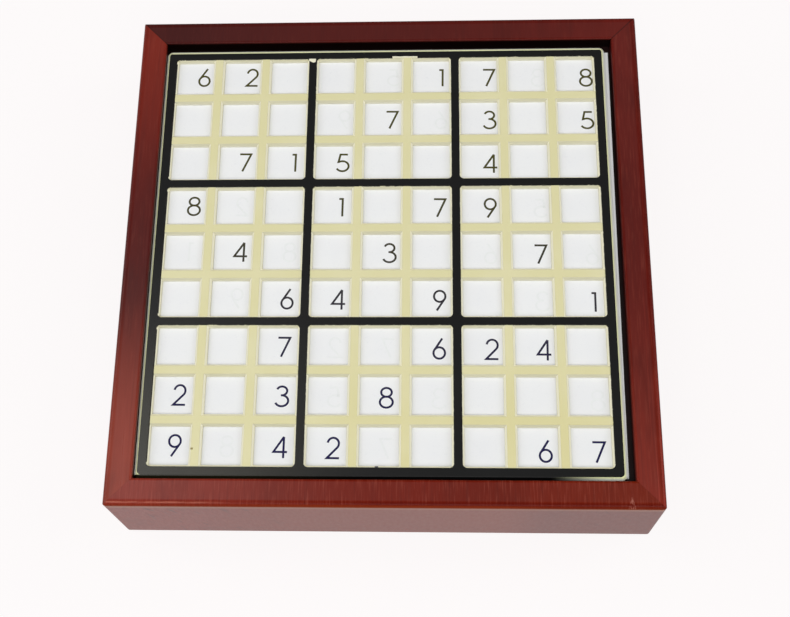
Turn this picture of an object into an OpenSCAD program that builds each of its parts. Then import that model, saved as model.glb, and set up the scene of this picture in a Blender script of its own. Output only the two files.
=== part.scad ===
// Sudoku board: a mitred wooden box with a moulded number grid laid over a printed
// puzzle sheet in its top, and a drawer for the number tiles below.
// The origin is the centre of the base, +Z is up and the player sits on the -Y side.

/* [Number grid] */
// Distance from one cell to the next
cell_pitch = 23; // [18:0.05:30]
// Width of the bars between the cells at their foot
bar_w = 5.4; // [4.4:0.1:7]
// Height of the low bars between the cells
bar_h = 2.4; // [1.6:0.1:5]
// Bevel along the shoulders of every bar
bar_bevel = 1; // [0.2:0.05:1.1]
// Width of the raised black lines around the blocks of cells
line_w = 3.7; // [2.5:0.05:4]
// Rise of the black lines above the low bars
line_rise = 0.3; // [0.1:0.05:2]
// Corner radius inside each block of black lines
block_corner_r = 2; // [0.4:0.1:2.5]
// Outer corner radius of the black lines
line_corner_r = 1.8; // [0.3:0.1:3]
// Width of the low rim outside the black lines
rim_w = 1.3; // [0.8:0.05:3]
// Outer corner radius of the grid
grid_corner_r = 2.6; // [1.2:0.1:5]

/* [Box] */
// Height of the box
box_h = 53.3; // [47:0.1:80]
// Thickness of the four mitred rails
rail_t = 12.2; // [9:0.1:20]
// Radius along the outer top edges of the rails
edge_r = 1.8; // [0.5:0.1:4]
// Radius along the inner top edges of the rails
inner_edge_r = 1; // [0.3:0.1:3]
// Radius of the upright corners of the box
corner_r = 1.5; // [0.5:0.1:4]
// Thickness of the base panel and of the tray floor
panel_t = 3; // [2:0.5:5]
// Depth of the grooves that hold the tray floor
groove_depth = 4; // [2:0.5:6]
// Width of the rebate that holds the base panel
rebate_w = 6; // [3:0.5:8]

/* [Tray] */
// Room across the tray beyond the grid
tray_play = 3.5; // [3:0.05:12]
// Gap between the grid and the left rail
grid_left_gap = 0.2; // [0.2:0.05:2.5]
// Gap between the grid and the front rail
grid_front_gap = 0.65; // [0.2:0.05:2.5]
// Depth of the black lines below the rim
grid_drop = 2.3; // [0.5:0.05:6]
// Room across the tray beyond a puzzle sheet
sheet_play = 6.8; // [5.5:0.1:12]
// Thickness of one puzzle sheet
sheet_t = 0.4; // [0.2:0.05:0.8]
// Spare puzzle sheets kept under the one in use
spare_count = 4; // [1:1:8]
// How far the sheets lie to the right of the middle of the tray
sheet_right = 1.5; // [-1.5:0.05:1.5]
// How far the sheets lie behind the middle of the tray
sheet_back = -0.7; // [-1.5:0.05:1.5]
// Angle by which the sheets lie askew
sheet_turn = -0.35; // [-0.6:0.01:0.6]

/* [Drawer] */
// Wood left standing beside the drawer opening
drawer_margin = 10; // [6:0.5:25]
// Gap between the drawer and its opening on each side
drawer_side_gap = 0.75; // [0.4:0.05:1.5]
// Gap above and below the drawer front
drawer_gap = 0.4; // [0.3:0.05:1]
// Height of the runners above the base panel
runner_rise = 6.2; // [4:0.1:12]
// Width of the ledge that carries a drawer side
runner_ledge_w = 8; // [6:0.5:14]
// Height of the guides above the runner's ledge
guide_h = 10; // [5:0.5:15]
// Gap between the drawer and the tray floor above it
drawer_headroom = 3.35; // [1.5:0.05:8]
// Thickness of the drawer's sides and back
drawer_wall = 6; // [4:0.5:9]
// Thickness of the drawer's bottom
drawer_floor_t = 3; // [2:0.5:5]
// Height of the drawer's bottom above its lower edge
drawer_floor_rise = 2; // [1:0.5:6]
// Depth of the grooves that hold the drawer's bottom
drawer_groove = 3; // [1.5:0.5:3.5]
// Difference in height between the drawer front and its sides
drawer_side_drop = 5.6; // [2:0.1:9]
// Bevel round the drawer front
drawer_front_bevel = 0.8; // [0.3:0.1:2]
// Gap between the closed drawer and the front rail
drawer_end_gap = 0.3; // [0.2:0.1:2]

/* [Knob] */
// Largest radius of the knob
knob_r = 6.5; // [5:0.5:9]
// Distance that the knob stands out
knob_len = 14; // [11:0.5:18]
// Radius of the knob's neck
knob_neck_r = 3; // [2.5:0.1:4.5]
// Radius of the knob's foot
knob_foot_r = 5; // [4.6:0.1:7]
// Thickness of the knob's foot
knob_foot_t = 1.6; // [1:0.1:3]
// Radius of the screw that holds the knob
screw_r = 1.6; // [1.2:0.1:2]
// Radius of the screw's head
screw_head_r = 3.2; // [2.6:0.1:4]
// Height of the screw's head
screw_head_t = 2; // [1.2:0.1:3]
// Length of the screw inside the knob
screw_grip = 7; // [4:0.5:8]

/* [Number tiles] */
// Gap between a tile and the walls of its cell
tile_play = 0.4; // [0.2:0.05:1]
// Thickness of a tile
tile_t = 4; // [3:0.1:6]
// Bevel round the top of a tile
tile_bevel = 0.5; // [0.2:0.1:1]
// Gap between the tiles put away in the drawer
tile_gap = 1.4; // [0.6:0.1:1.6]
// Gap between the rows of tiles and the drawer's back
tile_row_start = 6; // [2:0.5:12]

/* [Hidden] */
$fn = 48;

// Cells along one side of a block, and blocks along one side of the board
block_cells = 3;
board_cells = block_cells * block_cells;
// Overrun of every cut past the face that it opens
over = 1;
// Gap between a panel's edge and the bottom of its groove
panel_play = 0.3;
// Gap around the screw in its holes
screw_play = 0.1;
// Air between two spare sheets, and below the lowest
sheet_air = 0.05;

// Sizes in plan, from the grid outwards
cell_open = cell_pitch - bar_w;
block_pitch = block_cells * cell_pitch;
block_open = block_pitch - line_w;
line_side = board_cells * cell_pitch + line_w;
grid_side = line_side + 2 * rim_w;
tray_side = grid_side + tray_play;
box_side = tray_side + 2 * rail_t;
sheet_side = tray_side - sheet_play;
grid_x = -tray_side / 2 + grid_left_gap + grid_side / 2;
grid_y = -tray_side / 2 + grid_front_gap + grid_side / 2;

// Levels, from the rim down and from the base up
grid_z = box_h - grid_drop - line_rise - bar_h;
sheet_z = grid_z - sheet_t;
spare_pitch = sheet_t + sheet_air;
spare_z = sheet_z - spare_count * spare_pitch;
floor_z = spare_z - sheet_air - panel_t;
runner_z = panel_t + runner_rise;
drawer_z = runner_z;
drawer_h = floor_z - drawer_headroom - drawer_z;

// The drawer and its opening
opening_w = tray_side - 2 * drawer_margin;
opening_h = drawer_h + 2 * drawer_gap;
drawer_w = opening_w - 2 * drawer_side_gap;
drawer_in_w = drawer_w - 2 * drawer_wall;
drawer_side_h = drawer_h - drawer_side_drop;
drawer_back_y = -tray_side / 2 + drawer_end_gap;
drawer_front_y = tray_side / 2;
drawer_side_len = drawer_front_y - drawer_back_y;
drawer_floor_z = drawer_z + drawer_floor_rise;
drawer_floor_w = drawer_in_w + 2 * (drawer_groove - panel_play);
drawer_floor_y = drawer_back_y + drawer_wall - drawer_groove + panel_play;
drawer_floor_len = drawer_front_y + drawer_groove - panel_play - drawer_floor_y;
knob_y = drawer_front_y + rail_t;
knob_z = drawer_z + drawer_h / 2;
knob_ball_y = knob_len - knob_r;

// The tiles put away in the drawer
tile_side = cell_open - 2 * tile_play;
tile_pitch = tile_side + tile_gap;
tile_z = drawer_floor_z + drawer_floor_t;
tile_first_y = drawer_back_y + drawer_wall + tile_row_start + tile_side / 2;

mahogany = [0.36, 0.12, 0.10];
plywood = [0.72, 0.56, 0.38];
cream = [0.87, 0.84, 0.66];
paper_white = [0.93, 0.93, 0.93];
brass = [0.72, 0.55, 0.25];
steel = [0.70, 0.70, 0.72];
ivory = [0.93, 0.91, 0.84];

// A square with round corners, centred on the origin
module rounded_square(side, r) {
    square([side - 2 * r, side], center = true);
    square([side, side - 2 * r], center = true);
    for (sx = [-1, 1], sy = [-1, 1])
        translate([sx * (side / 2 - r), sy * (side / 2 - r)]) circle(r);
}

// A square panel lying flat, centred, with its underside at z
module flat_panel(side, thickness, z) {
    translate([-side / 2, -side / 2, z]) cube([side, side, thickness]);
}

// What rounding takes off a corner at the origin: the corner of a square less the circle of
// the round. side is 1 where the material lies to the left of the corner, -1 to the right.
module round_waste(r, side) {
    difference() {
        translate([side > 0 ? -r : -over, -r]) square([r + over, r + over]);
        translate([-side * r, -r]) circle(r);
    }
}

// Section of a rail: its outer face on the left, its foot at the bottom
module rail_section() {
    difference() {
        square([rail_t, box_h]);
        translate([0, box_h]) round_waste(edge_r, -1);
        translate([rail_t, box_h]) round_waste(inner_edge_r, 1);
    }
}

// One rail along the front, mitred to its neighbours, without its openings
module plain_rail() {
    half = box_side / 2;
    inner = tray_side / 2;
    intersection() {
        translate([half, -half, 0]) rotate([90, 0, -90]) linear_extrude(box_side) mirror([1, 0]) rail_section();
        linear_extrude(box_h) polygon([[-half, -half], [half, -half], [inner, -inner], [-inner, -inner]]);
        linear_extrude(box_h) rounded_square(box_side, corner_r);
    }
}

// A rail with its groove for the tray floor and its rebate for the base panel
module grooved_rail() {
    difference() {
        plain_rail();
        flat_panel(tray_side + 2 * groove_depth, panel_t, floor_z);
        flat_panel(tray_side + 2 * rebate_w, panel_t + over, -over);
    }
}

module front_rail() {
    color(mahogany) grooved_rail();
}

module left_rail() {
    color(mahogany) rotate(-90) grooved_rail();
}

module right_rail() {
    color(mahogany) rotate(90) grooved_rail();
}

// The back rail frames the drawer
module back_rail() {
    color(mahogany) difference() {
        rotate(180) grooved_rail();
        translate([-opening_w / 2, tray_side / 2 - over, drawer_z - drawer_gap])
            cube([opening_w, rail_t + 2 * over, opening_h]);
    }
}

module base_panel() {
    color(plywood) flat_panel(tray_side + 2 * (rebate_w - panel_play), panel_t, 0);
}

module tray_floor() {
    color(mahogany) flat_panel(tray_side + 2 * (groove_depth - panel_play), panel_t, floor_z);
}

// An L-shaped runner: a ledge under the drawer side and a guide beside it
module runner() {
    foot = tray_side / 2 - opening_w / 2;
    length = tray_side - 2 * panel_play;
    translate([tray_side / 2, length / 2, panel_t]) rotate([90, 0, 0]) linear_extrude(length)
        polygon([
            [0, 0], [-foot - runner_ledge_w, 0], [-foot - runner_ledge_w, runner_rise],
            [-foot, runner_rise], [-foot, runner_rise + guide_h], [0, runner_rise + guide_h]
        ]);
}

module right_runner() {
    color(plywood) runner();
}

module left_runner() {
    color(plywood) mirror([1, 0, 0]) runner();
}

// The groove for the drawer's bottom, cut from any of the drawer's walls
module drawer_floor_groove() {
    groove_w = drawer_in_w + 2 * drawer_groove;
    groove_y = drawer_back_y + drawer_wall - drawer_groove;
    translate([-groove_w / 2, groove_y, drawer_floor_z])
        cube([groove_w, drawer_front_y + drawer_groove - groove_y, drawer_floor_t]);
}

// Section of the drawer front seen from above, with its outer edges bevelled
module front_board_section(width) {
    polygon([
        [-width / 2, 0], [width / 2, 0], [width / 2, rail_t - drawer_front_bevel],
        [width / 2 - drawer_front_bevel, rail_t], [-width / 2 + drawer_front_bevel, rail_t],
        [-width / 2, rail_t - drawer_front_bevel]
    ]);
}

module drawer_front() {
    color(mahogany) difference() {
        translate([0, drawer_front_y, drawer_z]) intersection() {
            linear_extrude(drawer_h) front_board_section(drawer_w);
            translate([-drawer_w / 2, 0, drawer_h / 2]) rotate([90, 0, 90])
                linear_extrude(drawer_w) rotate(90) mirror([0, 1]) front_board_section(drawer_h);
        }
        drawer_floor_groove();
        translate([0, knob_y + over, knob_z]) rotate([90, 0, 0])
            cylinder(h = rail_t + 2 * over, r = screw_r + screw_play);
        translate([0, drawer_front_y + screw_head_t, knob_z]) rotate([90, 0, 0])
            cylinder(h = screw_head_t + over, r = screw_head_r + screw_play);
    }
}

module drawer_side() {
    difference() {
        translate([drawer_in_w / 2, drawer_back_y, drawer_z])
            cube([drawer_wall, drawer_side_len, drawer_side_h]);
        drawer_floor_groove();
    }
}

module drawer_right_side() {
    color(plywood) drawer_side();
}

module drawer_left_side() {
    color(plywood) mirror([1, 0, 0]) drawer_side();
}

module drawer_back() {
    color(plywood) difference() {
        translate([-drawer_in_w / 2, drawer_back_y, drawer_z])
            cube([drawer_in_w, drawer_wall, drawer_side_h]);
        drawer_floor_groove();
    }
}

module drawer_bottom() {
    color(plywood) translate([-drawer_floor_w / 2, drawer_floor_y, drawer_floor_z])
        cube([drawer_floor_w, drawer_floor_len, drawer_floor_t]);
}

// A turned knob: a foot, a waisted neck and a ball, faced off flat at the drawer front and
// bored for its screw
module drawer_knob() {
    color(brass) translate([0, knob_y, knob_z]) rotate([-90, 0, 0]) difference() {
        union() {
            cylinder(h = knob_foot_t, r = knob_foot_r);
            cylinder(h = knob_ball_y, r = knob_neck_r);
            translate([0, 0, knob_ball_y]) sphere(knob_r);
        }
        translate([0, 0, -knob_r]) cylinder(h = knob_r, r = knob_r + over);
        translate([0, 0, -over]) cylinder(h = screw_grip + screw_play + over, r = screw_r + screw_play);
    }
}

module knob_screw() {
    color(steel) translate([0, drawer_front_y, knob_z]) rotate([-90, 0, 0]) {
        cylinder(h = screw_head_t, r = screw_head_r);
        cylinder(h = rail_t + screw_grip, r = screw_r);
    }
}

// One puzzle sheet as it lies in the tray, with its underside at z
module sheet(z) {
    translate([sheet_right, sheet_back, 0]) rotate(sheet_turn) flat_panel(sheet_side, sheet_t, z);
}

module puzzle_sheet() {
    color(paper_white) sheet(sheet_z);
}

module spare_sheets() {
    color(paper_white) for (i = [0 : spare_count - 1]) sheet(spare_z + i * spare_pitch);
}

// Section of a block with its two upper edges bevelled, standing on the origin
module bevelled_section(width, height, bevel) {
    polygon([
        [-width / 2, 0], [width / 2, 0], [width / 2, height - bevel],
        [width / 2 - bevel, height], [-width / 2 + bevel, height], [-width / 2, height - bevel]
    ]);
}

// A straight bar along Y with bevelled shoulders
module bar(length, width, height, bevel) {
    translate([0, length / 2, 0]) rotate([90, 0, 0]) linear_extrude(length)
        bevelled_section(width, height, bevel);
}

// The lattice of low bars, as many each way as there are cell walls; the outermost run on past
// the rim of the grid
module grid_bars() {
    length = grid_side + 2 * over;
    reach = rim_w + over;
    for (i = [0 : board_cells]) {
        outward = i == 0 ? -1 : i == board_cells ? 1 : 0;
        wide = bar_w + abs(outward) * reach;
        offset_i = (i - board_cells / 2) * cell_pitch + outward * reach / 2;
        translate([offset_i, 0, 0]) bar(length, wide, bar_h, bar_bevel);
        rotate(90) translate([offset_i, 0, 0]) bar(length, wide, bar_h, bar_bevel);
    }
}

// The outer form of the grid: a square plate with round corners and a bevelled rim
module grid_plate() {
    straight = grid_side - 2 * grid_corner_r;
    bar(straight, grid_side, bar_h, bar_bevel);
    rotate(90) bar(straight, grid_side, bar_h, bar_bevel);
    for (sx = [-1, 1], sy = [-1, 1]) translate([sx * straight / 2, sy * straight / 2, 0]) {
        cylinder(h = bar_h - bar_bevel, r = grid_corner_r);
        translate([0, 0, bar_h - bar_bevel])
            cylinder(h = bar_bevel, r1 = grid_corner_r, r2 = grid_corner_r - bar_bevel);
    }
}

// The raised lines round the blocks, rounded inside every block
module block_lines() {
    difference() {
        rounded_square(line_side, line_corner_r);
        for (i = [-1 : 1], j = [-1 : 1])
            translate([i * block_pitch, j * block_pitch]) rounded_square(block_open, block_corner_r);
    }
}

// The moulded grid: open cells, bevelled bars and raised lines in one piece
module number_grid() {
    color(cream) translate([grid_x, grid_y, grid_z]) {
        intersection() {
            grid_bars();
            grid_plate();
        }
        translate([0, 0, bar_h - bar_bevel]) linear_extrude(bar_bevel + line_rise) block_lines();
    }
}

// One number tile with its upper edges bevelled, standing on the origin
module tile() {
    intersection() {
        bar(tile_side, tile_side, tile_t, tile_bevel);
        rotate(90) bar(tile_side, tile_side, tile_t, tile_bevel);
    }
}

// The row of tiles of one number, as it lies in the drawer
module tile_row(number) {
    color(ivory) for (i = [0 : board_cells - 1])
        translate([(i - (board_cells - 1) / 2) * tile_pitch, tile_first_y + (number - 1) * tile_pitch, tile_z])
            tile();
}

front_rail();
back_rail();
left_rail();
right_rail();
base_panel();
tray_floor();
left_runner();
right_runner();
drawer_front();
drawer_left_side();
drawer_right_side();
drawer_back();
drawer_bottom();
drawer_knob();
knob_screw();
puzzle_sheet();
spare_sheets();
number_grid();
for (number = [1 : board_cells])
    tile_row(number);
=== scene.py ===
import math

import bpy
from mathutils import Matrix, Vector


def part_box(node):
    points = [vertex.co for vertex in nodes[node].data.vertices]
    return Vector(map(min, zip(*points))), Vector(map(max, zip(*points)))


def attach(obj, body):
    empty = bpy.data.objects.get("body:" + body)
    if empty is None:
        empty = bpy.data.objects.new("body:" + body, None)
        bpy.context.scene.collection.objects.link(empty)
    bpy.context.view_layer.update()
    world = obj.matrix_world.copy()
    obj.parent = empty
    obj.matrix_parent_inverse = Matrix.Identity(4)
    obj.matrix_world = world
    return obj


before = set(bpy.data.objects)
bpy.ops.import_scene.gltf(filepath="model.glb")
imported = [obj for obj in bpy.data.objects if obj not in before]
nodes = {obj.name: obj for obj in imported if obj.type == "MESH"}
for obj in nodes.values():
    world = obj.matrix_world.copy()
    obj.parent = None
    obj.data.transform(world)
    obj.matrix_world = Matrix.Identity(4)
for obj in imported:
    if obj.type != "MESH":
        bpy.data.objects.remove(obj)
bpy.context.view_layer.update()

MM = 0.001
scene = bpy.context.scene


def srgb(red, green, blue):
    """A colour in screen values from 0 to 255, as a linear colour."""
    shares = [value / 255 for value in (red, green, blue)]
    return (*[s / 12.92 if s <= 0.04045 else ((s + 0.055) / 1.055) ** 2.4 for s in shares], 1.0)


class Look:
    """One procedural material: a Principled shader and the nodes that feed it."""

    def __init__(self, name):
        self.material = bpy.data.materials.new(name)
        self.material.use_nodes = True
        self.tree = self.material.node_tree
        self.shader = self.tree.nodes["Principled BSDF"]
        self.place = self.add("TexCoord").outputs["Object"]
        self.x, self.y, self.z = self.add("SeparateXYZ", [self.place]).outputs

    def feed(self, socket, value):
        """Links a socket to another node's output, or sets it to a constant."""
        if isinstance(value, bpy.types.NodeSocket):
            self.tree.links.new(value, socket)
        else:
            socket.default_value = value

    def add(self, kind, values=(), **settings):
        """A new node of that kind, with its first inputs fed in order."""
        node = self.tree.nodes.new("ShaderNode" + kind)
        for key, value in settings.items():
            setattr(node, key, value)
        for socket, value in zip(node.inputs, values):
            self.feed(socket, value)
        return node

    def math(self, operation, first, second=0.0):
        return self.add("Math", [first, second], operation=operation).outputs[0]

    def plus(self, first, second):
        return self.math("ADD", first, second)

    def minus(self, first, second):
        return self.math("SUBTRACT", first, second)

    def times(self, first, *others):
        for other in others:
            first = self.math("MULTIPLY", first, other)
        return first

    def size(self, value):
        return self.math("ABSOLUTE", value)

    def largest(self, first, *others):
        for other in others:
            first = self.math("MAXIMUM", first, other)
        return first

    def dot(self, direction):
        """How far a point lies along a direction."""
        return self.add("VectorMath", [self.place, direction], operation="DOT_PRODUCT").outputs["Value"]

    def join(self, x, y, z):
        return self.add("CombineXYZ", [x, y, z]).outputs[0]

    def stretched(self, vector, scales):
        return self.add("VectorMath", [vector, scales], operation="MULTIPLY").outputs[0]

    def noise(self, vector, scales, detail=3.0, rough=0.5):
        """Noise with so many waves a metre along each axis."""
        node = self.add("TexNoise")
        self.feed(node.inputs["Vector"], self.stretched(vector, scales))
        node.inputs["Scale"].default_value = 1.0
        node.inputs["Detail"].default_value = detail
        node.inputs["Roughness"].default_value = rough
        return node.outputs[0]

    def step(self, value, low, high):
        """A soft step from 0 at low to 1 at high, whichever is larger."""
        node = self.add("MapRange", [value, low, high], interpolation_type="SMOOTHSTEP")
        return node.outputs[0]

    def mix(self, share, first, second):
        node = self.add("Mix", data_type="RGBA")
        self.feed(node.inputs[0], share)
        self.feed(node.inputs[6], first)
        self.feed(node.inputs[7], second)
        return node.outputs[2]

    def ramp(self, share, first, second):
        """A number that runs from first to second."""
        node = self.add("MapRange", [share, 0.0, 1.0, first, second])
        return node.outputs[0]

    def set(self, **sockets):
        """Feeds the shader's own sockets; an underscore in a name stands for a space."""
        for key, value in sockets.items():
            self.feed(self.shader.inputs[key.replace("_", " ")], value)

    def bump(self, height, strength, distance):
        node = self.add("Bump")
        node.inputs["Strength"].default_value = strength
        node.inputs["Distance"].default_value = distance
        self.feed(node.inputs["Height"], height)
        self.feed(self.shader.inputs["Normal"], node.outputs[0])

    def paint(self, *objects):
        for piece in objects:
            piece.data.materials.clear()
            piece.data.materials.append(self.material)


# Sizes of the CAD model that the looks follow
rail_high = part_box("front_rail")[1]
BOX_HALF = rail_high.x
BOX_TOP = rail_high.z
grid_low, grid_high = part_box("number_grid")
GRID_MIDDLE = (grid_low + grid_high) / 2
LINE_TOP = grid_high.z
LINE_RISE = 0.3 * MM
BAR_TOP = LINE_TOP - LINE_RISE
BAR_BEVEL = 1.0 * MM
CELL_PITCH = 23.0 * MM
BLOCK_PITCH = 3 * CELL_PITCH
LINE_WIDTH = 3.7 * MM
RAIL_THICK = 12.2 * MM
EDGE_ROUND = 1.8 * MM
SHEET_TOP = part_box("puzzle_sheet")[1].z

# Where tones that shift from back to front begin and end
FRONT_FADE = -20 * MM, -95 * MM
INK_FADE = 60 * MM, -95 * MM


# Wood

EDGE_DARK = srgb(92, 16, 9)
# Orange-red of the front rail's rounded edge: partly abraded lacquer, partly painted highlight
EDGE_RED_RUB_AND_HIGHLIGHT = srgb(130, 46, 18)
EDGE_TAN = srgb(150, 84, 48)
# Painted highlight along the front rail's left end
EDGE_PINK_HIGHLIGHT = srgb(190, 108, 88)
FLECK_ROSE = srgb(158, 78, 62)
PORE_RED = srgb(44, 12, 11)
# Painted shade for the rails' inner walls
WALL_SHADE_RED = srgb(16, 4, 3)
NICK_DARK = srgb(40, 16, 16)
SCUFF_PALE = srgb(190, 120, 104)
STREAK_ROSE = srgb(158, 62, 50)
SCUFF_RUN = 106 * MM
SCUFF_HEAD = 4.7 * MM
# Lighter painted shade for the left and right rails' inner walls
LEFT_WALL_SHADE = srgb(24, 7, 6)
RIGHT_WALL_SHADE = srgb(46, 15, 14)
LACQUER_SHINE = 0.38
EDGE_SHINE = 0.06
LEFT_EDGE_SHINE = 0.2


def right_wear(look, colour, run, depth, fall):
    """Long pale streaks beside the right rail's outer edge."""
    line = look.noise(look.join(run, depth, 0.0), (9, 900, 1), 2, 0.5)
    near = look.times(look.step(depth, 6 * MM, 2.5 * MM), look.step(fall, 1.5 * MM, 0.5 * MM))
    strength = look.ramp(look.step(run, 10 * MM, -70 * MM), 0.12, 0.5)
    return look.mix(look.times(look.step(line, 0.52, 0.62), near, strength), colour, STREAK_ROSE)


def front_wear_and_highlights(look, colour, run, depth, fall):
    """The front rail's top edge, abraded through to paler layers, and one scuff near its right end; the
    orange-red of its rounded edge is partly painted highlight, and a pale rose painted highlight runs along
    its left end.
    """
    darkened = look.times(look.step(depth, 2.3 * MM, 1.6 * MM), look.step(run, -40 * MM, 10 * MM))
    colour = look.mix(look.times(darkened, 0.6), colour, EDGE_DARK)
    # The rounded edge in orange-red, partly abraded lacquer and partly painted highlight.
    rubbed_and_highlit = look.times(look.step(fall, 0.1 * MM, 0.45 * MM), look.step(depth, 2 * EDGE_ROUND, EDGE_ROUND))
    rub_and_highlight_strength = look.times(
        look.ramp(look.step(run, -90 * MM, -30 * MM), 0.35, 0.85),
        look.ramp(look.step(run, 50 * MM, 75 * MM), 1.0, 0.4))
    colour = look.mix(look.times(rubbed_and_highlit, rub_and_highlight_strength), colour, EDGE_RED_RUB_AND_HIGHLIGHT)
    line = look.times(look.step(fall, 0.9 * MM, 1.5 * MM), look.step(fall, 6.5 * MM, 1.9 * MM))
    colour = look.mix(look.times(line, look.step(depth, 2 * EDGE_ROUND, EDGE_ROUND), 0.75), colour, EDGE_TAN)
    # Painted highlight: a broken pale rose line along the rounded edge at the left end.
    rag = look.noise(look.join(run, depth, 0.0), (160, 900, 1), 3, 0.6)
    pink_highlight = look.times(
        look.step(look.size(look.minus(depth, 1.1 * MM)), 0.6 * MM, 0.1 * MM),
        look.ramp(look.step(rag, 0.38, 0.55), 0.3, 1.0),
        look.step(fall, 0.7 * MM, 0.4 * MM),
        look.step(look.plus(run, look.times(rag, 30 * MM)), -46 * MM, -70 * MM))
    colour = look.mix(look.times(pink_highlight, 0.6), colour, EDGE_PINK_HIGHLIGHT)
    from_scuff = look.size(look.minus(run, SCUFF_RUN))
    leg = look.times(look.minus(SCUFF_HEAD, depth), 0.3)
    grit = look.noise(look.join(run, depth, 0.0), (1300, 500, 1), 2, 0.6)
    scuff = look.times(
        look.step(look.minus(from_scuff, leg), 0.5 * MM, -0.4 * MM),
        look.step(grit, 0.4, 0.62),
        look.step(depth, SCUFF_HEAD + 0.2 * MM, SCUFF_HEAD - 0.2 * MM),
        look.step(fall, 1.2 * MM, 0.8 * MM))
    return look.mix(look.times(scuff, 0.6), colour, SCUFF_PALE)


def lacquered_wood(
        name, along, outward, tones, flecks, mottling, seed,
        is_rail=True, wall_fade=MM, wall_shade_tone=WALL_SHADE_RED, edge_shine=EDGE_SHINE, wear_and_highlights=None):
    """Stained wood under a glossy lacquer; the tones are those of the start, middle and end of a rail."""
    look = Look(name)
    run = look.dot(along)
    depth = look.minus(BOX_HALF, look.dot(outward))
    fall = look.minus(BOX_TOP, look.z)
    grain = look.join(look.plus(look.x, seed), look.y, look.z)
    start, middle, end = [srgb(*tone) for tone in tones]
    colour = look.mix(look.step(run, -0.95 * BOX_HALF, -0.05 * BOX_HALF), start, middle)
    colour = look.mix(look.step(run, 0.05 * BOX_HALF, 0.95 * BOX_HALF), colour, end)
    cloud = look.noise(grain, (55, 22, 55), 3, 0.5)
    streak = look.noise(grain, (620, 16, 200), 4, 0.6)
    fleck = look.noise(grain, (1500, 70, 300), 3, 0.6)
    colour = look.mix(look.times(look.step(cloud, 0.46, 0.72), mottling), colour, PORE_RED)
    colour = look.mix(look.times(look.step(streak, 0.5, 0.8), 0.5 * mottling + 0.1), colour, PORE_RED)
    colour = look.mix(look.times(look.step(fleck, 0.5, 0.68), flecks), colour, FLECK_ROSE)
    colour = look.mix(look.times(look.step(fleck, 0.46, 0.3), 0.7 * flecks), colour, PORE_RED)
    rough = look.ramp(streak, 0.24, 0.36)
    shine = LACQUER_SHINE
    if is_rail:
        slant = look.plus(run, look.times(look.z, 0.4))
        nick = look.noise(look.join(slant, depth, look.z), (420, 330, 75), 1, 0.4)
        side = look.step(fall, 3 * MM, 5 * MM)
        off_end = look.step(look.size(run), 0.95 * BOX_HALF, 0.85 * BOX_HALF)
        colour = look.mix(look.times(side, off_end, look.step(nick, 0.66, 0.7), 0.7), colour, NICK_DARK)
        rough = look.plus(rough, look.times(side, 0.1))
        if wear_and_highlights:
            colour = wear_and_highlights(look, colour, run, depth, fall)
        mitre = look.size(look.minus(look.minus(BOX_HALF, depth), look.size(run)))
        seam = look.times(look.step(mitre, 0.45 * MM, 0.12 * MM), look.step(fall, 2 * MM, MM))
        at_back = look.step(look.y, -20 * MM, 20 * MM)
        colour = look.mix(look.times(seam, look.ramp(at_back, 0.1, 0.8)), colour, PORE_RED)
        # Painted shade: the inner walls darken from their top edge down into the tray.
        inner = look.step(depth, RAIL_THICK - 1.1 * MM, RAIL_THICK - 0.7 * MM)
        wall = look.times(inner, look.step(fall, 0.1 * MM, wall_fade))
        colour = look.mix(wall, colour, wall_shade_tone)
        outer_round = look.times(
            look.step(depth, 1.6 * EDGE_ROUND, EDGE_ROUND), look.step(fall, 3 * EDGE_ROUND, 0.7 * EDGE_ROUND))
        inner_round = look.step(depth, RAIL_THICK - 1.9 * MM, RAIL_THICK - 1.2 * MM)
        shine = look.ramp(look.largest(outer_round, inner_round), LACQUER_SHINE, edge_shine)
    look.bump(look.plus(fleck, streak), 0.06, 0.06 * MM)
    look.set(Base_Color=colour, Roughness=rough, Specular_IOR_Level=shine)
    return look


PINE_PALE = srgb(214, 182, 138)
PINE_DARK = srgb(181, 141, 95)
PINE_LINE = srgb(150, 108, 66)


def plain_wood(name, along, seed):
    """Unfinished pale wood with soft growth lines along one axis."""
    look = Look(name)
    run = look.plus(look.dot(along), seed)
    across = look.minus(look.dot((1, 1, 1)), look.dot(along))
    grain = look.join(run, across, look.z)
    bend = look.noise(grain, (9, 22, 22), 3, 0.5)
    lines = look.noise(grain, (6, 240, 240), 4, 0.55)
    fibre = look.noise(grain, (60, 1800, 1800), 2, 0.6)
    colour = look.mix(look.step(bend, 0.3, 0.7), PINE_PALE, PINE_DARK)
    colour = look.mix(look.times(look.step(lines, 0.52, 0.74), 0.55), colour, PINE_LINE)
    colour = look.mix(look.times(look.step(fibre, 0.55, 0.8), 0.25), colour, PINE_LINE)
    look.set(Base_Color=colour, Roughness=look.ramp(fibre, 0.6, 0.8))
    look.bump(look.plus(lines, fibre), 0.25, 0.1 * MM)
    return look


RIGHT, BACK = (1, 0, 0), (0, 1, 0)
LEFT, FRONT = (-1, 0, 0), (0, -1, 0)
FRONT_TONES = (134, 46, 34), (112, 25, 8), (113, 30, 10)
BACK_TONES = (72, 24, 22), (84, 24, 20), (100, 28, 22)
LEFT_TONES = (146, 56, 38), (84, 21, 17), (124, 38, 26)
RIGHT_TONES = (126, 40, 28), (92, 22, 16), (102, 30, 24)
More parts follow.
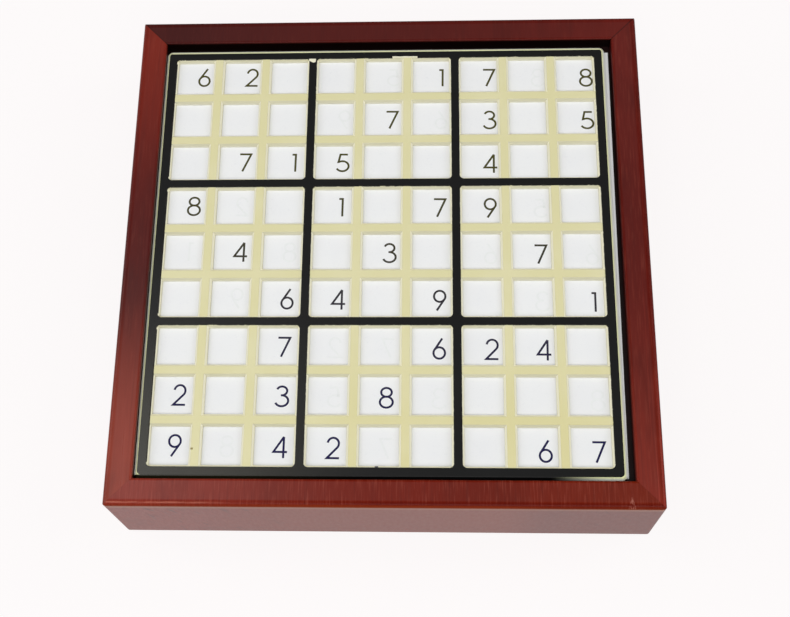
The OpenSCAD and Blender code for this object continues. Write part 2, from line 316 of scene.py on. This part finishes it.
# Near-black painted shade for the tray floor
TRAY_SHADE_TONES = (26, 9, 9), (24, 8, 8), (26, 9, 9)
lacquered_wood(
    "front_wood", RIGHT, FRONT, FRONT_TONES, flecks=0.32, mottling=0.2, seed=0.37,
    wear_and_highlights=front_wear_and_highlights).paint(nodes["front_rail"])
lacquered_wood(
    "back_wood", RIGHT, BACK, BACK_TONES, flecks=0.05, mottling=0.2, seed=1.61).paint(nodes["back_rail"])
lacquered_wood(
    "left_wood", BACK, LEFT, LEFT_TONES, flecks=0.1, mottling=0.3, seed=2.93,
    wall_fade=3.5 * MM, wall_shade_tone=LEFT_WALL_SHADE, edge_shine=LEFT_EDGE_SHINE).paint(nodes["left_rail"])
lacquered_wood(
    "right_wood", BACK, RIGHT, RIGHT_TONES, flecks=0.16, mottling=0.3, seed=4.27,
    wall_fade=5 * MM, wall_shade_tone=RIGHT_WALL_SHADE, wear_and_highlights=right_wear).paint(nodes["right_rail"])
lacquered_wood(
    "drawer_wood", RIGHT, BACK, BACK_TONES, flecks=0.05, mottling=0.2, seed=5.09,
    is_rail=False).paint(nodes["drawer_front"])
# Painted shade: the tray floor near black, as the narrow gaps round the sheets lie in shadow.
lacquered_wood(
    "tray_shade_wood", RIGHT, BACK, TRAY_SHADE_TONES, flecks=0.02, mottling=0.2, seed=6.4,
    is_rail=False).paint(nodes["tray_floor"])
plain_wood("panel_wood", RIGHT, seed=0.2).paint(nodes["base_panel"])
plain_wood("drawer_bottom_wood", RIGHT, seed=1.3).paint(nodes["drawer_bottom"], nodes["drawer_back"])
plain_wood("side_wood", BACK, seed=2.1).paint(
    nodes["left_runner"], nodes["right_runner"], nodes["drawer_left_side"], nodes["drawer_right_side"])


# The moulded grid with its painted lines

CREAM_TOP = srgb(225, 219, 170)
CREAM_FRONT = srgb(221, 213, 156)
# Slope tones: painted light and shade by the way the slopes face; the first is also a paler tone of the cream
PALE_CREAM_AND_LIT_SHOULDER = srgb(243, 239, 212)
BACK_SHOULDER_LIT = srgb(255, 250, 214)
FRONT_SHOULDER_SHADE = srgb(211, 207, 177)
# Wall tones: painted shade, lighter where the walls face front
CREAM_WALL_SHADE = srgb(214, 208, 170)
FRONT_WALL_LIT = srgb(233, 230, 208)
# Painted highlight on the outer rim's slope
RIM_SLOPE_HIGHLIGHT = srgb(246, 248, 236)
RIM_CREAM = srgb(232, 234, 184)
LINE_BLACK = srgb(9, 9, 9)
# Painted sheen on the black paint at the front left
LINE_OLIVE_SHEEN = srgb(34, 32, 18)
SPECK_BROWN = srgb(150, 136, 84)
PAINT_CREEP = 0.1 * MM
SOFT_EDGE = 0.1 * MM


def grid_plastic():
    """Cream moulding whose raised lines are painted black, with the paint uneven here and there."""
    look = Look("grid_plastic")
    half_line = LINE_WIDTH / 2
    block_line = BLOCK_PITCH / 2
    outer_line = 3 * block_line
    outer_edge = outer_line + half_line
    left_line = GRID_MIDDLE.x - outer_line
    front_line = GRID_MIDDLE.y - outer_line
    back_line = GRID_MIDDLE.y + outer_line
    left_inner = left_line + half_line
    front_outer = front_line - half_line
    back_inner = back_line - half_line
    back_outer = back_line + half_line

    def to_line(value, middle):
        """How far a point lies from the middle of the nearest line across one axis."""
        turns = look.plus(look.times(look.minus(value, middle), 1 / BLOCK_PITCH), 0.5)
        return look.times(look.math("PINGPONG", turns, 0.5), BLOCK_PITCH)

    ragged = look.noise(look.place, (420, 420, 420), 4, 0.6)
    slack = look.times(look.minus(ragged, 0.5), 0.8 * MM)

    def patch(x, y, half_x, half_y):
        """A ragged patch about a place on the grid."""
        in_x = look.step(look.plus(look.size(look.minus(look.x, x)), slack), half_x + SOFT_EDGE, half_x)
        in_y = look.step(look.plus(look.size(look.minus(look.y, y)), slack), half_y + SOFT_EDGE, half_y)
        return look.times(in_x, in_y)

    in_x = look.minus(half_line, to_line(look.x, GRID_MIDDLE.x))
    in_y = look.minus(half_line, to_line(look.y, GRID_MIDDLE.y))
    near = look.largest(in_x, in_y)
    off_middle = look.largest(
        look.size(look.minus(look.x, GRID_MIDDLE.x)), look.size(look.minus(look.y, GRID_MIDDLE.y)))
    nibble = look.times(look.largest(look.minus(ragged, 0.52), 0.0), 0.7 * MM)
    on_line = look.step(look.z, LINE_TOP - 0.12 * MM, LINE_TOP - 0.04 * MM)
    creep = look.times(
        look.step(look.minus(look.plus(near, PAINT_CREEP), nibble), 0.0, 0.05 * MM),
        look.step(off_middle, outer_line, outer_line - SOFT_EDGE),
        look.step(look.z, BAR_TOP - 0.6 * MM, BAR_TOP - 0.5 * MM))

    # Places where the paint is missing: the head of one line, and strips on the back line's two edges
    from_head = look.minus(back_inner, look.y)
    slope = look.times(look.size(look.minus(look.x, GRID_MIDDLE.x - block_line + 0.1 * MM)), 0.5)
    head = look.times(
        look.step(look.plus(look.plus(from_head, slope), slack), 2.3 * MM, 2.1 * MM),
        look.step(from_head, 0.0, SOFT_EDGE),
        look.step(look.size(look.minus(look.x, GRID_MIDDLE.x - block_line - 0.4 * MM)), 1.75 * MM, 1.6 * MM))
    strip = patch(8.8 * MM, back_inner, 6.0 * MM, 0.75 * MM)
    back_edge = look.step(look.y, back_outer - 0.42 * MM, back_outer - 0.3 * MM)
    bare = look.largest(head, strip, back_edge)

    # Places where it has run over: beside the left line and one drip; the black down the front rim is painted
    # shade in the gap by the front rail
    beside = look.times(
        look.step(look.plus(look.x, look.times(slack, 0.3)), left_inner + 0.42 * MM, left_inner + 0.3 * MM),
        look.step(look.x, left_line, left_line + SOFT_EDGE),
        look.step(look.size(look.minus(look.y, GRID_MIDDLE.y)), outer_line, outer_line - SOFT_EDGE),
        look.step(in_y, -1.7 * MM, -2.3 * MM),
        look.step(look.z, BAR_TOP - 0.55 * MM, BAR_TOP - 0.4 * MM))
    # Painted shade: black down the front rim, in the gap by the front rail.
    front_rim_shade = look.times(
        look.step(look.x, 101 * MM, 72 * MM),
        look.step(look.z, BAR_TOP - 1.1 * MM, BAR_TOP - MM),
        look.step(look.y, front_outer + SOFT_EDGE, front_outer))
    drip = patch(-2.5 * MM, front_line + 2.2 * MM, 0.7 * MM, 0.5 * MM)
    black = look.times(look.largest(on_line, creep), look.minus(1.0, bare))
    black = look.largest(black, beside, front_rim_shade, drip)

    # The cream plastic: tops, a little darker and yellower towards the front right; slopes painted paler and
    # walls in painted shade, each lighter or darker by the way it faces; the outer rim with a painted
    # highlight on its slope; and one speck
    tone = look.noise(look.place, (35, 35, 35), 3, 0.5)
    shoulder = look.step(look.z, BAR_TOP - 0.05 * MM, BAR_TOP - 0.2 * MM)
    wall = look.step(look.z, BAR_TOP - BAR_BEVEL, BAR_TOP - BAR_BEVEL - 0.15 * MM)
    over = look.step(look.z, BAR_TOP + 0.05 * MM, BAR_TOP + 0.1 * MM)
    # Painted light and shade on the slopes and line sides: paler overall, paler still where they face back,
    # darker where they face front.
    facing = look.add("SeparateXYZ", [look.add("TexCoord").outputs["Normal"]]).outputs[1]
    faces_front = look.step(facing, -0.2, -0.6)
    slope_painted_light = look.mix(look.step(facing, 0.2, 0.6), PALE_CREAM_AND_LIT_SHOULDER, BACK_SHOULDER_LIT)
    slope_painted_light = look.mix(faces_front, slope_painted_light, FRONT_SHOULDER_SHADE)
    # The bar tops a little darker and yellower towards the front right.
    front_right_darker = look.times(look.step(look.y, -40 * MM, -90 * MM), look.step(look.x, -60 * MM, 10 * MM), 0.7)
    top_tone = look.mix(front_right_darker, CREAM_TOP, CREAM_FRONT)
    cream = look.mix(look.largest(shoulder, over), top_tone, slope_painted_light)
    # Painted shade on the bar walls, painted lighter where they face front.
    cream = look.mix(wall, cream, look.mix(faces_front, CREAM_WALL_SHADE, FRONT_WALL_LIT))
    # Painted highlight on the outer rim's slope, near white beyond the cream beside the line.
    rim = look.step(off_middle, outer_edge - 0.6 * MM, outer_edge - 0.5 * MM)
    rim_slope_highlight = look.step(off_middle, outer_edge + 0.2 * MM, outer_edge + 1.1 * MM)
    cream = look.mix(rim, cream, look.mix(rim_slope_highlight, RIM_CREAM, RIM_SLOPE_HIGHLIGHT))
    cream = look.mix(look.times(look.step(tone, 0.4, 0.7), 0.15), cream, PALE_CREAM_AND_LIT_SHOULDER)
    cream = look.mix(patch(-83.55 * MM, -94.75 * MM, 0.5 * MM, 0.35 * MM), cream, SPECK_BROWN)
    # Painted sheen: the black paint turns olive towards the front left.
    front_left_sheen = look.times(look.step(look.x, 0.0, -90 * MM), look.step(look.y, *FRONT_FADE))
    paint_tone = look.mix(front_left_sheen, LINE_BLACK, LINE_OLIVE_SHEEN)
    look.set(Base_Color=look.mix(black, cream, paint_tone))
    look.set(Roughness=look.plus(look.ramp(black, 0.45, 0.2), look.times(tone, 0.1)))
    look.set(Specular_IOR_Level=look.ramp(black, 0.4, 0.62))
    look.bump(ragged, 0.1, 0.05 * MM)
    return look


grid_plastic().paint(nodes["number_grid"])


# Paper, tiles and metal

PAPER_WHITE = srgb(240, 241, 242)
PAPER_CLOUD = srgb(236, 237, 239)
PAPER_FIBRE = srgb(224, 225, 229)
# Painted shade for the front of the paper
PAPER_FRONT_SHADE = srgb(226, 227, 229)
TILE_IVORY = srgb(240, 234, 214)
TILE_SHADE = srgb(229, 221, 196)
BRASS_BRIGHT = srgb(222, 178, 96)
BRASS_DULL = srgb(176, 130, 62)
STEEL_BRIGHT = srgb(200, 200, 204)
STEEL_DULL = srgb(150, 150, 155)


def front_painted_shade(look, colour):
    """Painted shade: the paper a little greyer towards the front."""
    return look.mix(look.times(look.step(look.y, *FRONT_FADE), 0.2), colour, PAPER_FRONT_SHADE)


def paper():
    """White uncoated paper with a faint cloudy fibre."""
    look = Look("paper")
    fibre = look.noise(look.place, (900, 900, 900), 3, 0.6)
    cloud = look.noise(look.place, (40, 40, 40), 2, 0.5)
    colour = look.mix(look.times(look.step(cloud, 0.35, 0.7), 0.5), PAPER_WHITE, PAPER_CLOUD)
    colour = look.mix(look.times(look.step(fibre, 0.55, 0.8), 0.35), colour, PAPER_FIBRE)
    look.set(Base_Color=front_painted_shade(look, colour), Roughness=look.ramp(fibre, 0.75, 0.9))
    look.set(Specular_IOR_Level=0.2)
    look.bump(fibre, 0.1, 0.03 * MM)
    return look


def tile_plastic():
    """Ivory plastic, a little darker in soft patches, with a fine moulded grain."""
    look = Look("tile_plastic")
    tone = look.noise(look.place, (30, 30, 30), 2, 0.5)
    grain = look.noise(look.place, (1500, 1500, 1500), 2, 0.5)
    colour = look.mix(look.step(tone, 0.35, 0.7), TILE_IVORY, TILE_SHADE)
    look.set(Base_Color=colour, Roughness=look.ramp(grain, 0.3, 0.45))
    look.bump(grain, 0.08, 0.04 * MM)
    return look


def metal(name, bright, dull, smooth, rough):
    """Turned metal, dulled in patches and finely scored round its axis."""
    look = Look(name)
    tarnish = look.noise(look.place, (160, 160, 160), 4, 0.6)
    score = look.noise(look.place, (40, 3800, 40), 2, 0.5)
    look.set(Base_Color=look.mix(look.step(tarnish, 0.42, 0.7), bright, dull), Metallic=1.0)
    look.set(Roughness=look.ramp(tarnish, smooth, rough))
    look.bump(score, 0.06, 0.03 * MM)
    return look


paper().paint(nodes["puzzle_sheet"], nodes["spare_sheets"])
tile_plastic().paint(*[nodes[f"tiles_{number}"] for number in range(1, 10)])
metal("knob_brass", BRASS_BRIGHT, BRASS_DULL, 0.14, 0.34).paint(nodes["drawer_knob"])
metal("screw_steel", STEEL_BRIGHT, STEEL_DULL, 0.25, 0.45).paint(nodes["knob_screw"])


# Printed numbers: strokes of one width, in letters about one unit tall

PEN = 0.95 * MM
PRINT_DEPTH = 0.02 * MM
PRINT_LIFT = 0.01 * MM
ARC_STEP = 9
MIN_RING_POINTS = 30
RING_GAP = 1.5
MITRE_LIMIT = 0.35
FIT_ROUNDS = 3
FIRST_HEIGHT = 10 * MM

# The printed width and height of each number in millimetres
NUMBER_SIZES = {
    1: (2.12, 9.43), 2: (6.70, 10.05), 3: (6.55, 10.05), 4: (6.85, 9.80), 5: (6.43, 9.73),
    6: (6.10, 10.27), 7: (6.10, 9.70), 8: (6.65, 10.00), 9: (6.10, 10.30),
}


def arc(x, y, across, up, start, end):
    """Points of an ellipse's arc between two angles in degrees."""
    steps = max(2, round(abs(end - start) / ARC_STEP))
    angles = [math.radians(start + (end - start) * i / steps) for i in range(steps + 1)]
    return [(x + across * math.cos(a), y + up * math.sin(a)) for a in angles]


SIX_STEM = [(0.13, 0.985), (-0.214, 0.452)]
SIX_BOWL = arc(0, 0.303, 0.265, 0.265, 0, 351)
STROKES = {
    1: [[(-0.09, 0.955), (0.055, 0.955), (0.055, 0.0)]],
    2: [arc(0, 0.7, 0.262, 0.262, 172, -45) + [(-0.285, 0.04), (0.29, 0.04)]],
    3: [arc(0, 0.755, 0.215, 0.207, 160, -90)[:-1] + [(-0.04, 0.548)],
        [(-0.04, 0.548)] + arc(0, 0.294, 0.275, 0.255, 90, -158)],
    4: [[(0.15, 0.0), (0.15, 0.94)], [(0.15, 0.94), (-0.26, 0.27), (0.3, 0.27)]],
    5: [[(0.22, 0.96), (-0.11, 0.96), (-0.19, 0.545)] + arc(-0.01, 0.315, 0.28, 0.276, 120, -152)],
    6: [SIX_STEM, SIX_BOWL],
    7: [[(-0.25, 0.96), (0.235, 0.96), (-0.11, 0.0)]],
    8: [arc(0, 0.752, 0.243, 0.208, 0, 351), arc(0, 0.294, 0.296, 0.255, 0, 351)],
    9: [[(-x, 1 - y) for x, y in SIX_STEM], [(-x, 1 - y) for x, y in SIX_BOWL]],
}


def is_ring(points):
    """Whether a stroke comes round to its own start."""
    gap = math.dist(points[0], points[-1])
    return len(points) > MIN_RING_POINTS and gap < RING_GAP * math.dist(points[0], points[1])


def stroke_sides(points):
    """The left and right side of a band of the pen's width along the points."""
    count, ring = len(points), is_ring(points)
    sides = []
    for i, here in enumerate(points):
        before = points[i - 1] if ring or i else None
        after = points[(i + 1) % count] if ring or i < count - 1 else None
        normals = []
        for first, second in ((before, here), (here, after)):
            if first and second:
                run = Vector(second) - Vector(first)
                normals.append(Vector((-run.y, run.x)).normalized())
        normal = sum(normals, Vector((0, 0))).normalized()
        reach = PEN / 2 / max(MITRE_LIMIT, normal.dot(normals[0]))
        sides.append((Vector(here) + normal * reach, Vector(here) - normal * reach))
    return sides


def stroke_mesh(points):
    """A flat band along the points, closed on all sides."""
    count, ring = len(points), is_ring(points)
    sides = stroke_sides(points)
    corners = [(p.x, p.y, z) for pair in sides for p in pair for z in (0, PRINT_DEPTH)]
    faces = []
    for i in range(count if ring else count - 1):
        a, b = 4 * i, 4 * ((i + 1) % count)
        faces += [
            (a + 1, a + 3, b + 3, b + 1), (a, b, b + 2, a + 2),
            (a, a + 1, b + 1, b), (a + 2, b + 2, b + 3, a + 3)]
    if not ring:
        end = 4 * (count - 1)
        faces += [(0, 2, 3, 1), (end, end + 1, end + 3, end + 2)]
    mesh = bpy.data.meshes.new("stroke")
    mesh.from_pydata(corners, [], faces)
    return mesh


def spread(places, axis):
    """The width of a set of places along one axis."""
    return max(p[axis] for p in places) - min(p[axis] for p in places)


def fitted_strokes(number):
    """A number's strokes in metres, stretched until their outline has the printed width and height."""
    grow = [FIRST_HEIGHT, FIRST_HEIGHT]
    for _ in range(FIT_ROUNDS):
        strokes = [[(x * grow[0], y * grow[1]) for x, y in line] for line in STROKES[number]]
        outline = [p for line in strokes for pair in stroke_sides(line) for p in pair]
        middle = [p for line in strokes for p in line]
        for axis in (0, 1):
            wanted = NUMBER_SIZES[number][axis] * MM - (spread(outline, axis) - spread(middle, axis))
            grow[axis] *= wanted / spread(middle, axis)
    return strokes


def number_shape(number):
    """The corners and faces of one number, its strokes joined and its middle at the origin."""
    objects = []
    for points in fitted_strokes(number):
        piece = bpy.data.objects.new("stroke", stroke_mesh(points))
        scene.collection.objects.link(piece)
        objects.append(piece)
    for other in objects[1:]:
        join = objects[0].modifiers.new("join", "BOOLEAN")
        join.operation = "UNION"
        join.solver = "EXACT"
        join.object = other
    bpy.context.view_layer.update()
    evaluated = objects[0].evaluated_get(bpy.context.evaluated_depsgraph_get())
    mesh = bpy.data.meshes.new_from_object(evaluated)
    corners = [v.co.copy() for v in mesh.vertices]
    faces = [tuple(p.vertices) for p in mesh.polygons]
    across = [c.x for c in corners]
    up = [c.y for c in corners]
    middle = Vector(((min(across) + max(across)) / 2, (min(up) + max(up)) / 2, 0))
    bpy.data.meshes.remove(mesh)
    for piece in objects:
        bpy.data.meshes.remove(piece.data)
    return [c - middle for c in corners], faces


SHAPES = {number: number_shape(number) for number in STROKES}


def printed(name, marks, look, body):
    """One piece of printed numbers; each mark is a number and where its middle goes."""
    corners, faces = [], []
    for number, place in marks:
        shape, shape_faces = SHAPES[number]
        start = len(corners)
        corners += [place @ corner for corner in shape]
        mirrored = place.determinant() < 0
        for face in shape_faces:
            ring = [start + i for i in face]
            faces.append(ring[::-1] if mirrored else ring)
    mesh = bpy.data.meshes.new(name)
    mesh.from_pydata(corners, [], faces)
    piece = bpy.data.objects.new(name, mesh)
    scene.collection.objects.link(piece)
    look.paint(piece)
    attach(piece, body)
    return piece


INK_THIN = srgb(96, 94, 104)
INK_BACK = srgb(72, 69, 22)
INK_FRONT = srgb(20, 14, 68)
TILE_INK = srgb(30, 30, 34)
FAINT_PALE = srgb(237, 239, 239)
FAINT_DARK = srgb(234, 236, 236)


def ink(name, back_colour, front_colour):
    """Printing ink that thins out in places and shifts in tone from back to front."""
    look = Look(name)
    tone = look.noise(look.place, (1400, 1400, 1400), 2, 0.6)
    colour = look.mix(look.step(look.y, *INK_FADE), back_colour, front_colour)
    colour = look.mix(look.times(look.step(tone, 0.5, 0.85), 0.35), colour, INK_THIN)
    look.set(Base_Color=colour, Roughness=look.ramp(tone, 0.5, 0.7))
    look.set(Specular_IOR_Level=0.2)
    return look


# The puzzle on the sheet, row by row from the back, with 0 for an empty cell
PUZZLE = (
    "620001708",
    "000070305",
    "071500400",
    "800107900",
    "040030070",
    "006409001",
    "007006240",
    "203080000",
    "904200067",
)

# The numbers that show faintly through the sheet, by row and column
SHOW_THROUGH = {
    (1, 5): 5, (1, 8): 3, (2, 4): 9, (2, 6): 6, (4, 2): 2, (4, 8): 5, (5, 1): 1,
    (5, 3): 8, (5, 7): 6, (5, 9): 6, (6, 2): 9, (6, 8): 3, (7, 4): 2, (7, 5): 7,
    (8, 4): 5, (8, 6): 3, (8, 9): 8, (9, 2): 8, (9, 5): 7,
}

# How the print lies on the sheet, which is turned a little in its tray
MIDDLE_CELL = 5
PRINT_MIDDLE = Vector((2.239 * MM, -1.411 * MM, SHEET_TOP))
PRINT_TURN = math.radians(-0.643)
PRINT_PITCH_X = 23.189 * MM
PRINT_PITCH_Y = 23.104 * MM
sheet_place = Matrix.Translation(PRINT_MIDDLE) @ Matrix.Rotation(PRINT_TURN, 4, "Z")


def cell_place(row, column):
    """Where the middle of a printed cell lies; rows count from the back and columns from the left."""
    across = (column - MIDDLE_CELL) * PRINT_PITCH_X
    up = (MIDDLE_CELL - row) * PRINT_PITCH_Y
    return sheet_place @ Matrix.Translation((across, up, PRINT_LIFT))


given = [
    (int(mark), cell_place(row, column))
    for row, line in enumerate(PUZZLE, 1) for column, mark in enumerate(line, 1) if mark != "0"]
printed("puzzle_numbers", given, ink("number_ink", INK_BACK, INK_FRONT), "sheets")
flip = Matrix.Diagonal((-1, 1, 1, 1))
seen_through = [(number, cell_place(*cell) @ flip) for cell, number in SHOW_THROUGH.items()]


def faint_print():
    """The print of the sheet's other side, barely darker than the paper."""
    look = Look("faint_print")
    tone = look.noise(look.place, (500, 500, 500), 3, 0.6)
    colour = look.mix(look.step(tone, 0.35, 0.65), FAINT_PALE, FAINT_DARK)
    look.set(Base_Color=front_painted_shade(look, colour), Roughness=look.ramp(tone, 0.75, 0.9))
    look.set(Specular_IOR_Level=0.2)
    return look


printed("show_through_numbers", seen_through, faint_print(), "sheets")

TILES_IN_ROW = 9
TILE_PRINT_SCALE = 0.9
TILE_TURN = Matrix.Rotation(math.pi, 4, "Z") @ Matrix.Diagonal((TILE_PRINT_SCALE, TILE_PRINT_SCALE, 1, 1))
tile_ink = ink("tile_ink", TILE_INK, TILE_INK)
for number in range(1, 10):
    row_low, row_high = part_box(f"tiles_{number}")
    side = row_high.y - row_low.y
    pitch = (row_high.x - row_low.x - side) / (TILES_IN_ROW - 1)
    row_middle = (row_low.y + row_high.y) / 2
    marks = []
    for i in range(TILES_IN_ROW):
        middle = Vector((row_low.x + side / 2 + i * pitch, row_middle, row_high.z + PRINT_LIFT))
        marks.append((number, Matrix.Translation(middle) @ TILE_TURN))
    printed(f"tile_numbers_{number}", marks, tile_ink, "drawer")


# The floor, the light and the camera

FLOOR_PALE = srgb(246, 244, 244)
FLOOR_SHADE = srgb(243, 240, 240)
FLOOR_SEEN = srgb(255, 252, 252)
FLOOR_SHARE = 0.9
FLOOR_HALF = 4.0
FLOOR_LEVEL = -0.1 * MM
FLOOR_SIGNS = ((-1, -1), (1, -1), (1, 1), (-1, 1))
WORLD_STRENGTH = 0.2


def floor_look():
    """A pale floor that shows near white to the camera and keeps a soft shadow."""
    look = Look("floor")
    tone = look.noise(look.place, (6, 6, 6), 2, 0.5)
    look.set(Base_Color=look.mix(tone, FLOOR_PALE, FLOOR_SHADE), Roughness=0.9)
    look.set(Specular_IOR_Level=0.1)
    rays = look.add("LightPath").outputs
    seen = look.largest(rays["Is Camera Ray"], rays["Is Glossy Ray"], rays["Is Transmission Ray"])
    glow = look.add("Emission", [FLOOR_SEEN, 1.0])
    blend = look.add("MixShader")
    look.feed(blend.inputs[0], look.times(seen, FLOOR_SHARE))
    look.feed(blend.inputs[1], look.shader.outputs[0])
    look.feed(blend.inputs[2], glow.outputs[0])
    look.feed(look.tree.nodes["Material Output"].inputs["Surface"], blend.outputs[0])
    return look


floor_mesh = bpy.data.meshes.new("floor")
floor_corners = [(sx * FLOOR_HALF, sy * FLOOR_HALF, FLOOR_LEVEL) for sx, sy in FLOOR_SIGNS]
floor_mesh.from_pydata(floor_corners, [], [(0, 1, 2, 3)])
floor = bpy.data.objects.new("floor", floor_mesh)
scene.collection.objects.link(floor)
floor_look().paint(floor)

world = bpy.data.worlds.new("studio")
world.use_nodes = True
world.node_tree.nodes["Background"].inputs["Color"].default_value = (1.0, 1.0, 1.0, 1.0)
world.node_tree.nodes["Background"].inputs["Strength"].default_value = WORLD_STRENGTH
scene.world = world


def soft_box(name, place, target, across, along, watts):
    """A flat rectangular lamp that looks at a target."""
    lamp = bpy.data.lights.new(name, "AREA")
    lamp.shape = "RECTANGLE"
    lamp.size = across
    lamp.size_y = along
    lamp.energy = watts
    holder = bpy.data.objects.new(name, lamp)
    holder.location = place
    aim = Vector(target) - Vector(place)
    holder.rotation_euler = aim.to_track_quat("-Z", "Y").to_euler()
    scene.collection.objects.link(holder)


BOARD = (0, 0, BOX_TOP)
soft_box("key_light", (0, -1.05, 1.9), BOARD, across=2.0, along=1.3, watts=26.0)
soft_box("left_light", (-1.8, 0.2, 1.5), BOARD, across=1.2, along=1.2, watts=12.3)
soft_box("right_light", (1.8, 0.2, 1.5), BOARD, across=1.2, along=1.2, watts=12.3)
soft_box("sheen_light", (-0.585, 0.15, 1.5), (-0.585, 0.15, 0), across=0.63, along=0.5, watts=1.7)

# The photograph's camera: where it stands, the directions of its picture, and its lens in pixels
EYE = Vector((0.0231897, -0.2456772, 0.6368089))
ACROSS = Vector((0.998438, 0.018606, -0.052676))
DOWN = Vector((-0.00278, -0.925196, -0.379481))
AHEAD = Vector((-0.055796, 0.379034, -0.923699))
PICTURE_WIDTH, PICTURE_HEIGHT = 790, 617
FOCAL_PIXELS = 1381.2335
MIDDLE_X, MIDDLE_Y = 357.99, 258.73
SENSOR = 36.0

camera_data = bpy.data.cameras.new("photo_camera")
camera_data.sensor_fit = "HORIZONTAL"
camera_data.sensor_width = SENSOR
camera_data.lens = FOCAL_PIXELS / PICTURE_WIDTH * SENSOR
camera_data.shift_x = (PICTURE_WIDTH / 2 - MIDDLE_X) / PICTURE_WIDTH
camera_data.shift_y = (MIDDLE_Y - PICTURE_HEIGHT / 2) / PICTURE_WIDTH
camera_data.clip_start = 0.01
camera = bpy.data.objects.new("photo_camera", camera_data)
turn = Matrix((ACROSS, -DOWN, -AHEAD)).transposed().to_4x4()
camera.matrix_world = Matrix.Translation(EYE) @ turn
scene.collection.objects.link(camera)
scene.camera = camera
scene.view_settings.view_transform = "Standard"
